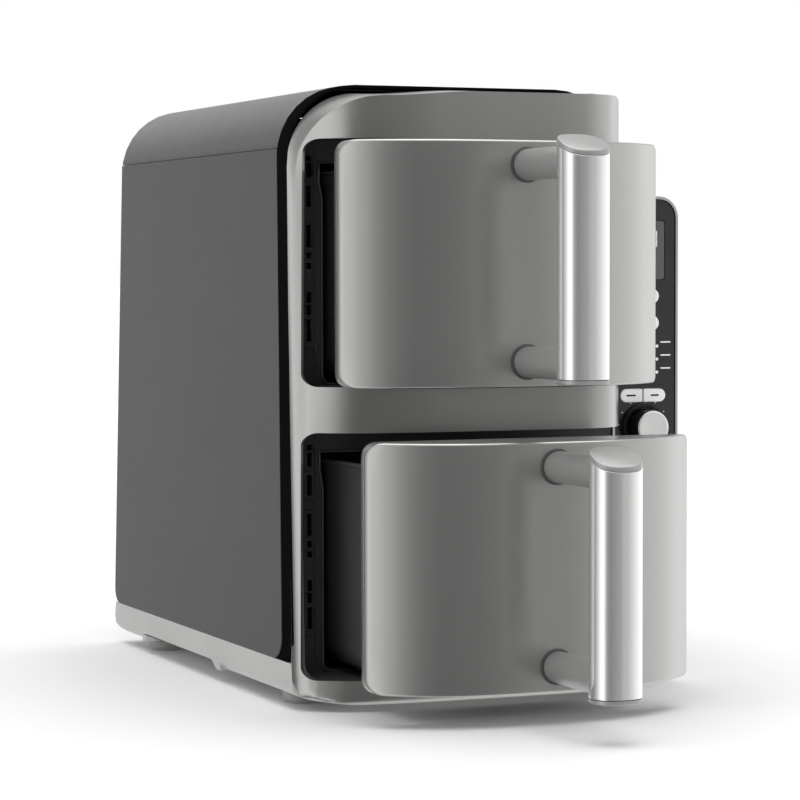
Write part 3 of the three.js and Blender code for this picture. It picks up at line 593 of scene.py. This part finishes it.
def bezel_rows():
    """(z, left edge of the opening or None) from the foot up."""
    rows = [(BEZEL_FOOT + h, None) for h in (0, 0.3, 0.8, 1.6, 2.6, 4, 5.6, 7.6, 10, 13)]
    for storey in range(2):
        low, high = (OPENING[k] + PITCH * storey for k in ("low", "high"))
        turns = [math.radians(a) for a in range(0, 91, 15)]
        r = OPENING["radius"]
        curve = [(r * (1 - math.cos(a)), r * (1 - math.sin(a))) for a in turns]
        rows += [(low + up, opening_left(low + up) + x) for up, x in curve]
        rows += [(z, opening_left(z)) for z in between(low + r, high - r, 16)[:-1]]
        rows += [(high - up, opening_left(high - up) + x) for up, x in reversed(curve)]
        if storey == 0:
            rows += [(z, None) for z in between(high, low + PITCH, 8)[:-1]]
    rows += [(z, None) for z in (353, 355.5, 358, 360.5, 363, 365, 367, 369, 371, 372.6, 374, 375.2, 376, 376.6)]
    rows += [(z, None) for z in (377.1, 377.8, 378.5, 379.1, BEZEL_TOP)]
    return rows


def crown(x, z):
    """How far the top band rises towards the right."""
    along = min(max((x + 86) / 60, 0), 1)
    return 3.2 * along * along * (3 - 2 * along) * min(max((z - 352) / 22, 0), 1)


def make_bezel():
    points, rows = [], []
    for z, stop in bezel_rows():
        row = bezel_row(z, stop)
        right = outer_right(z)
        wide = stop is None or abs(stop - opening_left(z) - OPENING["radius"]) < 0.01
        if wide:
            row += between(row[-1], right, 60)
        start = len(points)
        points += [(x, bezel_y(x, z), z + crown(x, z)) for x in row]
        if wide:
            points += [(right, y, z + crown(right, z)) for y in (-22, -15, -8.2)]
        rows.append((start, len(points) - start, z, stop))
    faces = []
    narrow = 13
    for (a, wide_a, za, stop_a), (b, wide_b, zb, stop_b) in zip(rows, rows[1:]):
        across = min(wide_a, wide_b)
        both_edges = stop_a is not None and stop_b is not None
        across = narrow if both_edges else across
        faces += [(a + i, a + i + 1, b + i + 1, b + i) for i in range(across - 1)]
    first, last = rows[0], rows[-1]
    for (start, count, z, _), depth in ((first, -20), (last, -16)):
        base = len(points)
        points += [(x, max(depth, y), z) for x, y, _ in points[start:start + count]]
        faces += [(start + i, start + i + 1, base + i + 1, base + i) for i in range(count - 1)]
    bezel = built("bezel_skin", points, faces)
    mesh = bezel.data
    facing = sum(p.normal.y * p.area for p in mesh.polygons)
    if facing > 0:
        mesh.flip_normals()
    shell = bezel.modifiers.new("shell", "SOLIDIFY")
    shell.thickness = 2.4 * MM
    shell.offset = -1
    finish_piece(bezel, "bezel_grey", "casing", ["front_bezel"], smooth=180)
    round_edges(bezel, 0.9, 3, 40)


# ---- Drawer fronts ----
FRONT_SAG = 36                          # how far the ends of a drawer front curve back
FRONT_EDGE = 1.9                        # rounding of its edges
FRONT_CORNER = {"left": 9, "right": 3.6}
FRONT_SPAN = (-123.3, 91.7)
FRONT_DROP = {"lower": 1.2, "upper": 1.2}       # its lower edge, below the CAD node's


def front_y(x, half):
    return FRONT_SAG * min(abs(x - MIDDLE) / half, 1) ** 3


def front_columns(low, high, inset):
    """(x, lowest z, highest z) across a drawer front, denser round its corners."""
    def corner(side):
        radius = FRONT_CORNER[side]
        bend = radius - inset
        turns = (math.radians(a) for a in range(0, 91, 15))
        return [(bend * math.cos(a), radius - bend * math.sin(a)) for a in turns]

    left, right = low.x + FRONT_CORNER["left"], high.x - FRONT_CORNER["right"]
    straight = [(left + (right - left) * i / 56, low.z + inset, high.z - inset) for i in range(1, 56)]
    return ([(left - u, low.z + v, high.z - v) for u, v in corner("left")] + straight
            + [(right + u, low.z + v, high.z - v) for u, v in reversed(corner("right"))])


def make_drawer_front(storey):
    node = f"{storey}_drawer_front"
    low, high = low_corner(node), high_corner(node)
    half = (high.x - low.x) / 2
    low.x, high.x = FRONT_SPAN
    low.z -= FRONT_DROP[storey]
    rows = 8
    points, faces = [], []

    def loop(inset, depth):
        """The outline of the front at an inset, with depth(x) as its Y."""
        columns = front_columns(low, high, inset)
        across = len(columns)
        lift = [i / rows for i in range(1, rows)]
        grid = ([(x, a) for x, a, b in columns] + [(columns[-1][0], columns[-1][1] + (columns[-1][2]
                - columns[-1][1]) * t) for t in lift] + [(x, b) for x, a, b in reversed(columns)]
                + [(columns[0][0], columns[0][2] + (columns[0][1] - columns[0][2]) * t) for t in lift])
        assert len(grid) == 2 * across + 2 * (rows - 1)
        return [(x, depth(x), z) for x, z in grid]

    columns = front_columns(low, high, FRONT_EDGE)
    for x, a, b in columns:
        points += [(x, low.y + front_y(x, half), a + (b - a) * r / rows) for r in range(rows + 1)]
    for c in range(len(columns) - 1):
        for r in range(rows):
            i = c * (rows + 1) + r
            faces.append((i, i + 1, i + rows + 2, i + rows + 1))
    rings = []
    for turn in range(0, 91, 15):
        inset = FRONT_EDGE * (1 - math.sin(math.radians(turn)))
        drop = FRONT_EDGE * (1 - math.cos(math.radians(turn)))
        rings.append(loop(inset, lambda x, drop=drop: low.y + front_y(x, half) + drop))
    rings.append(loop(0, lambda x: high.y - 0.8))
    rings.append(loop(0.8, lambda x: high.y))
    rings.append(loop(2.6, lambda x: high.y))
    rings.append(loop(3, lambda x: high.y - 0.6))
    rings.append(loop(3, lambda x: high.y - 3.4))
    start = len(points)
    count = len(rings[0])
    for ring in rings:
        points += ring
    for r in range(len(rings) - 1):
        a = start + r * count
        faces += [(a + i, a + (i + 1) % count, a + count + (i + 1) % count, a + count + i) for i in range(count)]
    faces.append(tuple(range(start + (len(rings) - 1) * count, start + len(rings) * count)))
    piece = built(f"{storey}_front_skin", points, faces)
    finish_piece(piece, "front_paint", f"{storey}_drawer", [node], smooth=50)


# ---- Handles ----
GRIP_SLOPE = 0.42                       # fall of the end cap towards the front
COVER_DEPTH = 1.7                       # thickness of the chrome wrap
COVER_BACK = 7                          # its rear edges, behind the middle of the grip
POST_RADIUS = 9.5
POST_FILLET = 7


HANDLE_MIDDLE = MIDDLE + 2.2


class Grip:
    """The upright bar of a handle and its sections."""

    def __init__(self, storey):
        low, high = low_corner(f"{storey}_handle_cover"), high_corner(f"{storey}_handle_cover")
        core = high_corner(f"{storey}_handle_grip")
        self.half_width = 15
        self.half_depth = 12.5
        self.y = low.y + self.half_depth
        self.low, self.high = low.z - 1.2, core.z
        self.face = low_corner(f"{storey}_drawer_front").y
        self.rear = self.y + self.half_depth

    def outline(self, inset, count=72):
        """Points (x, y) round the bar; inset may be a function of the y of the surface without inset."""
        points = []
        for i in range(count):
            angle = 2 * math.pi * i / count
            u, v = math.cos(angle), math.sin(angle)
            x = math.copysign(abs(u) ** 0.74, u)
            y = math.copysign(abs(v) ** 0.8, v)
            surface = self.y + self.half_depth * y
            shrink = inset(surface) if callable(inset) else inset
            points.append((HANDLE_MIDDLE + (self.half_width - shrink) * x, self.y + (self.half_depth - shrink) * y))
        return points

    def top(self, y):
        return self.high - GRIP_SLOPE * (self.rear - y)

    def ring(self, inset, z):
        return [(x, y, z(y) if callable(z) else z) for x, y in self.outline(inset)]


def make_handle(storey):
    grip = Grip(storey)
    body = f"{storey}_drawer"
    covered = lambda y: COVER_DEPTH + 0.3 if y < grip.y + COVER_BACK + 0.4 else 0
    under = lambda down: lambda y: grip.top(y) - down
    rings = [grip.ring(1.2, grip.low), grip.ring(0.35, grip.low + 0.35), grip.ring(0, grip.low + 1.2),
             grip.ring(0, grip.low + 2.5), grip.ring(covered, grip.low + 2.6), grip.ring(covered, under(3.1)),
             grip.ring(0, under(3)), grip.ring(0, under(1.1)), grip.ring(0.35, under(0.3)), grip.ring(1.1, under(0))]
    bar = skin(f"{storey}_bar", rings)
    posts = []
    centres = [low_corner(f"{storey}_handle_{end}_screw").z + 4.5 for end in ("lower", "upper")]
    for z in centres:
        floor = grip.low + 0.4
        stations = [(grip.y + 6, 1.0)] + [
            (grip.rear - 1 + POST_FILLET * (1 - math.cos(math.radians(a))), 1 - math.sin(math.radians(a)))
            for a in range(0, 91, 15)] + [(grip.face - 1.4, 0), (grip.face - 0.6, -0.06)]
        profile = []
        for y, swell in stations:
            circle = arc(0, 0, 1, 0, 360, 48)[:-1]
            tall, wide = POST_RADIUS + POST_FILLET * swell, POST_RADIUS + 0.6 * swell
            ceiling = grip.top(min(y, grip.rear)) - 1 if y < grip.rear + 1.5 else grip.high
            profile.append([(HANDLE_MIDDLE + u * wide, y, min(max(z + v * tall, floor), ceiling)) for u, v in circle])
        posts.append(skin("post", profile))
    core = merged(f"{storey}_handle_core", [bar, *posts])
    finish_piece(core, "handle_grey", body, [f"{storey}_handle_grip"], smooth=42)
    for z, end in zip(centres, ("lower", "upper")):
        profile = [(-1.5, 9.3), (-1.5, 10.1), (-1.1, 10.7), (-0.1, 10.9), (-0.1, 9.3)]
        ring = turned(f"{storey}_{end}_post_collar", profile, (HANDLE_MIDDLE, grip.face, z))
        finish_piece(ring, "inner_black", body, smooth=30)

    outer = [p for p in grip.outline(0, 144)]
    inner = [p for p in grip.outline(COVER_DEPTH, 144)]
    kept = [i for i in range(144) if outer[i][1] < grip.y + COVER_BACK]
    first = next(i for i in kept if (i - 1) % 144 not in kept)
    order = [(first + i) % 144 for i in range(len(kept))]
    section = [outer[i] for i in order] + [inner[i] for i in reversed(order)]
    cover = skin(f"{storey}_chrome_wrap", [[(x, y, grip.low + 2.9) for x, y in section],
                                           [(x, y, grip.top(y) - 3.3) for x, y in section]])
    finish_piece(cover, "chrome_cover", body, [f"{storey}_handle_cover"], bevel=0.45)


# ---- Baskets, plates and racks ----
def basket_ring(low, high, inset, z, corner=18):
    corner = max(corner - inset, 1)
    return [(x, y, z) for x, y in rounded_box(low.x + inset, high.x - inset, low.y + inset, high.y - inset, corner, 8)]


def make_basket(storey):
    """A drawn pan with rounded lower edges and a rolled rim."""
    node = f"{storey}_basket"
    low, high = low_corner(node), high_corner(node)
    rim = 3
    wall, bend = 2, 15
    inner_low = Vector((low.x + rim, low.y + 2.6, low.z))
    inner_high = Vector((high.x - rim, high.y - rim, high.z))
    rings = []
    for angle in range(0, 91, 10):
        swing = math.radians(angle)
        rings.append(basket_ring(inner_low, inner_high, bend * (1 - math.sin(swing)),
                                 low.z + bend * (1 - math.cos(swing))))
    top = high.z
    rings.append(basket_ring(inner_low, inner_high, 0, top - 4))
    rings.append(basket_ring(inner_low, inner_high, -0.6, top - 2.6))
    rings.append(basket_ring(inner_low, inner_high, -2, top - 2))
    for angle in range(-60, 91, 30):
        rings.append(basket_ring(inner_low, inner_high, -2 - math.cos(math.radians(angle)) * 0.9,
                                 top - 1 + math.sin(math.radians(angle))))
    rings.append(basket_ring(inner_low, inner_high, 0.8, top))
    rings.append(basket_ring(inner_low, inner_high, wall - 0.3, top - 0.8))
    for angle in range(90, -1, -10):
        swing = math.radians(angle)
        rings.append(basket_ring(inner_low, inner_high, wall + (bend - wall) * (1 - math.sin(swing)),
                                 low.z + wall + (bend - wall) * (1 - math.cos(swing))))
    pan = skin(f"{storey}_pan", rings)
    finish_piece(pan, "basket_coating", f"{storey}_drawer", [node], smooth=40)


def make_rack(storey):
    """A wire rack: a bent frame, cross wires on it, and four legs with feet."""
    node = f"{storey}_rack"
    low, high = low_corner(node), high_corner(node)
    wire = 1.55
    top = high.z - wire
    edge = rounded_box(low.x + wire, high.x - wire, low.y + wire, high.y - wire, 14, 6)
    frame_path = [(x, y, top) for x, y in edge]
    main = rods("rack_frame", [frame_path + [frame_path[0]]], wire)
    inner = (high.x - low.x) / 4
    along = [[(MIDDLE + k * inner * 0.98, low.y + 3, top), (MIDDLE + k * inner * 0.98, high.y - 3, top)]
             for k in (-1, 0, 1)]
    across = []
    for i in range(9):
        y = low.y + 14 + i * (high.y - low.y - 28) / 8
        across.append([(low.x + 2, y, top - 2.3), (high.x - 2, y, top - 2.3)])
    lighter = rods("rack_wires", along + across, 1.1)
    legs = []
    for side in (-1, 1):
        x = MIDDLE + side * 62
        for y in (low.y + 32, high.y - 32):
            foot = low.z + wire + 0.1
            legs.append([(x, y - 9, top), (x, y - 7, foot + 3), (x, y - 4.5, foot), (x, y + 4.5, foot),
                         (x, y + 7, foot + 3), (x, y + 9, top)])
    stand = rods("rack_legs", legs, 1.35)
    rack = merged(f"{storey}_wire_rack", [main, lighter, stand])
    finish_piece(rack, "rack_steel", f"{storey}_rack", [node], smooth=50)


def make_element(storey):
    """A tubular heating element: two turns and the tails that pass through the liner."""
    node = f"{storey}_heating_element"
    low, high = low_corner(node), high_corner(node)
    cx, cz = MIDDLE, (low.z + high.z) / 2
    y = low.y + 3.3
    paths = []
    for radius in (52, 38):
        ring = [(cx + radius * math.cos(a), y, cz + radius * math.sin(a))
                for a in (math.radians(-65 + 310 * i / 48 - 0) for i in range(49))]
        start, end = ring[0], ring[-1]
        paths.append(ring)
        paths.append([start, (start[0] + 1, y + 4, start[2] - 1), (start[0] + 1, high.y - 6, start[2] - 1)])
        paths.append([end, (end[0] - 1, y + 4, end[2] - 1), (end[0] - 1, high.y - 6, end[2] - 1)])
    coil = rods(f"{storey}_element_tube", paths, 3.1)
    finish_piece(coil, "steel_parts", "casing", [node], smooth=50)


# ---- Mouths of the cavities ----
def make_mouth(storey):
    """The folded lip round a cavity, and the ribs of the flange on its left."""
    lift = PITCH * STOREYS.index(storey)
    front = -8.4
    half, wide = 92.4, 94.4
    low, ledge, step, high = (z + lift for z in (20.1, 134.7, 146, 157.4))
    left, right = MIDDLE - half, MIDDLE + half
    path = [(x, front, z) for x, z in arc(left + 6, low + 6, 6, 180, 270, 5) + arc(right - 6, low + 6, 6, 270, 360, 5)]
    path += [(right, front, ledge), (MIDDLE + wide, front, step), (MIDDLE + wide, front, high),
             (MIDDLE - wide, front, high), (MIDDLE - wide, front, step), (left, front, ledge)]
    lip = rods(f"{storey}_cavity_lip", [path + [path[0]]], 0.8)
    finish_piece(lip, "steel_parts", "casing", smooth=50)
    ribs = []
    for x, depth in ((-122.6, 0.9), (-114.2, 1.2)):
        ribs.append([(x, front - depth / 2, lift + 27), (x, front - depth / 2, lift + 166)])
    for z in (44, 61, 70, 96, 104, 121, 127, 145, 158):
        ribs.append([(-122.6, front, lift + z), (-114.2, front, lift + z)])
    frame_ribs = rods(f"{storey}_flange_ribs", ribs, 0.7, 8)
    finish_piece(frame_ribs, "inner_black", "casing", smooth=50)


# ---- Feet, screws and dial ----
def make_feet():
    for end in ("front", "rear"):
        for side in ("left", "right"):
            node = f"{end}_{side}_foot"
            low, high = low_corner(node), high_corner(node)
            centre = ((low.x + high.x) / 2, (low.y + high.y) / 2, 0)
            r = (high.x - low.x) / 2
            profile = [(0.9, 3), (0.9, r - 6), (0, r - 5), (0, r - 2.2), (0.5, r - 1.2), (1.6, r - 0.8),
                       (2.2, r - 0.1), (3.4, r), (high.z - 0.6, r), (high.z, r - 0.6)]
            foot = turned(f"{end}_{side}_pad", profile, centre, "z", 56)
            finish_piece(foot, "foot_rubber", "casing", [node], smooth=32)


def make_dial():
    low, high = low_corner("dial_knob"), high_corner("dial_knob")
    face = low_corner("dial_face")
    x, z = (low.x + high.x) / 2, (low.z + high.z) / 2
    radius = (high.x - low.x) / 2
    front, back = low.y, low_corner("dial_collar").y + 2.2
    count = 120
    rings = []
    for y, r, depth in ((front, radius - 1.6, 0), (front + 0.5, radius - 0.7, 0), (front + 1.4, radius - 0.2, 0.25),
                        (back - 2.2, radius, 0.35), (back - 1.4, radius, 0), (back, radius, 0), (back, 3, 0),
                        (high.y - 0.2, 3, 0)):
        ring = []
        for i in range(count):
            angle = 2 * math.pi * i / count
            reach = r - depth * (i % 2)
            ring.append((x + reach * math.cos(angle), y, z + reach * math.sin(angle)))
        rings.append(ring)
    skirt = skin("dial_skirt", rings)
    finish_piece(skirt, "dial_black", "dial", ["dial_knob"], smooth=25)
    top = face.y
    r = radius - 0.8
    cap = turned("dial_cap", [(1.3, r - 0.5), (0.9, r), (0.55, r), (0.1, r - 0.55), (0, r - 0.8), (0.08, r - 1.6),
                              (0.3, r - 5), (0.36, 0.4)], (x, top, z), sides=96)
    finish_piece(cap, "dial_silver", "dial", ["dial_face"], smooth=30)


def make_back_details():
    """Screws at the back, and slanting fins in the vents of the back panel."""
    low, high = low_corner("back_panel"), high_corner("back_panel")
    lean = (323 + 0.0345 * (345.6 - 29.4) - 1.5 - (323 - 1.5)) / (345.6 - 29.4)
    back = lambda z: 321.5 + lean * max(345.6 - z, 0)
    heads = []
    for x, z in ((-118, 45), (72, 45), (-118, 200), (72, 200), (-108, 352), (62, 352)):
        profile = [(-0.6, 3.6), (0.5, 3.6), (1.0, 3.0), (1.15, 1.8), (0.5, 1.5), (0.4, 0.3)]
        heads.append(turned("screw", profile, (x, back(z), z), sides=20))
    screws = merged("back_screws", heads)
    finish_piece(screws, "steel_parts", "casing", smooth=30)
    fins = []
    for middle in (88, 268):
        for row in range(-3, 4):
            z = middle + row * 13
            y = back(z)
            outline = [(y - 3.2, z + 3.4), (y - 2.2, z + 3.4), (y - 0.2, z - 1.6), (y - 1.2, z - 1.9)]
            fins.append(skin("fin", [[(x, a, b) for a, b in outline] for x in (MIDDLE - 49.6, MIDDLE + 49.6)]))
    vanes = merged("vent_vanes", fins)
    finish_piece(vanes, "inner_black", "casing", smooth=30)


# ---- Marks on the controls ----
SEGMENTS = {"0": "abcdef", "1": "bc", "2": "abged", "8": "abcdefg", "5": "afgcd"}


def seven_segment(digit, x, z, width, height, y0, y1):
    """Bars of a lit digit whose lower left corner is at x, z."""
    t = width * 0.2
    half = height / 2
    spots = {"a": (0, height - t, width, height), "g": (0, half - t / 2, width, half + t / 2),
             "d": (0, 0, width, t), "f": (0, half, t, height), "b": (width - t, half, width, height),
             "e": (0, 0, t, half), "c": (width - t, 0, width, half)}
    bars = []
    for name in SEGMENTS[digit]:
        a, b, c, d = spots[name]
        gap = t * 0.14
        bars.append(plate("bar", [(x + a + gap, z + b + gap), (x + c - gap, z + b + gap),
                                  (x + c - gap, z + d - gap), (x + a + gap, z + d - gap)], y0, y1))
    return bars


def dash(x0, x1, z, thickness, y0, y1):
    half = thickness / 2
    return plate("dash", rounded_box(x0, x1, z - half, z + half, half * 0.98, 3), y0, y1)


def make_marks():
    window = low_corner("display_window"), high_corner("display_window")
    glass = low_corner("control_panel").y
    y = window[0].y
    x0 = window[0].x
    lit = []
    for digit, x in (("2", x0 + 4.5), ("0", x0 + 11.5), ("0", x0 + 18.8)):
        lit += seven_segment(digit, x, window[1].z - 17, 5.4, 10.5, y - 0.12, y + 0.3)
    lit += seven_segment("1", x0 + 3, window[0].z + 5, 4.4, 8.5, y - 0.12, y + 0.3)
    for digit, x in (("8", x0 + 11.5), ("0", x0 + 18)):
        lit += seven_segment(digit, x, window[0].z + 5, 4.4, 8.5, y - 0.12, y + 0.3)
    finish_piece(merged("display_digits", lit), "key_white", "casing")
    marks = []
    middle = 115
    for z in (220.4, 211.9, 203.4):
        marks.append(plate("dot", arc(middle + 10, z, 1.05, 0, 360, 16)[:-1], glass - 0.1, glass + 0.3))
        marks.append(dash(middle + 12.6, middle + 20, z + 2.6, 0.9, glass - 0.08, glass + 0.3))
        marks.append(plate("dot", arc(middle - 12, z, 1.05, 0, 360, 16)[:-1], glass - 0.1, glass + 0.3))
        marks.append(dash(middle - 9.4, middle - 1, z, 0.9, glass - 0.08, glass + 0.3))
    for i in range(12):
        angle = math.radians(-60 + 300 * i / 11)
        u, v = -math.sin(angle + math.radians(180 - 90)), math.cos(angle + math.radians(180 - 90))
        marks.append(plate("dot", arc(middle + 18 * u, 167.8 + 18 * v, 0.4, 0, 360, 10)[:-1], glass - 0.06, glass + 0.3))
    marks.append(dash(middle - 5, middle + 5, 146.5, 0.9, glass - 0.08, glass + 0.3))
    marks.append(dash(middle - 4, middle + 4, 72.5, 0.9, glass - 0.08, glass + 0.3))
    # The printed dashes and dial ticks take the glowing key_white: a painted glow, since they are no lamps.
    finish_piece(merged("panel_marks", marks), "key_white", "casing")
    for key, bars in (("temperature_button", (-4, 3)), ("time_button", (-3, 3))):
        low, high = low_corner(key), high_corner(key)
        cx, cz = (low.x + high.x) / 2, (low.z + high.z) / 2
        mark = dash(cx + bars[0], cx + bars[1], cz, 1.1, low.y - 0.08, low.y + 0.3)
        mark.name = key + "_mark"
        finish_piece(mark, "dial_black", key)
    for key in ("upper_zone_button", "lower_zone_button"):
        low, high = low_corner(key), high_corner(key)
        cx, cz = (low.x + high.x) / 2, (low.z + high.z) / 2
        shift = 1.2 if key.startswith("upper") else -1.2
        mark = merged(key + "_mark", [dash(cx - 3.4, cx + 3.4, cz + shift, 1.2, low.y - 0.08, low.y + 0.3),
                                      dash(cx - 3.4, cx + 3.4, cz - shift, 0.5, low.y - 0.08, low.y + 0.3)])
        finish_piece(mark, "dial_black", key)


make_camera()
make_studio()
make_floor()
finish_cad_nodes()
for name in STOREYS:
    make_drawer_front(name)
    make_handle(name)
    make_basket(name)
    make_rack(name)
    make_element(name)
    make_mouth(name)
make_bezel()
make_feet()
make_dial()
make_back_details()
make_marks()
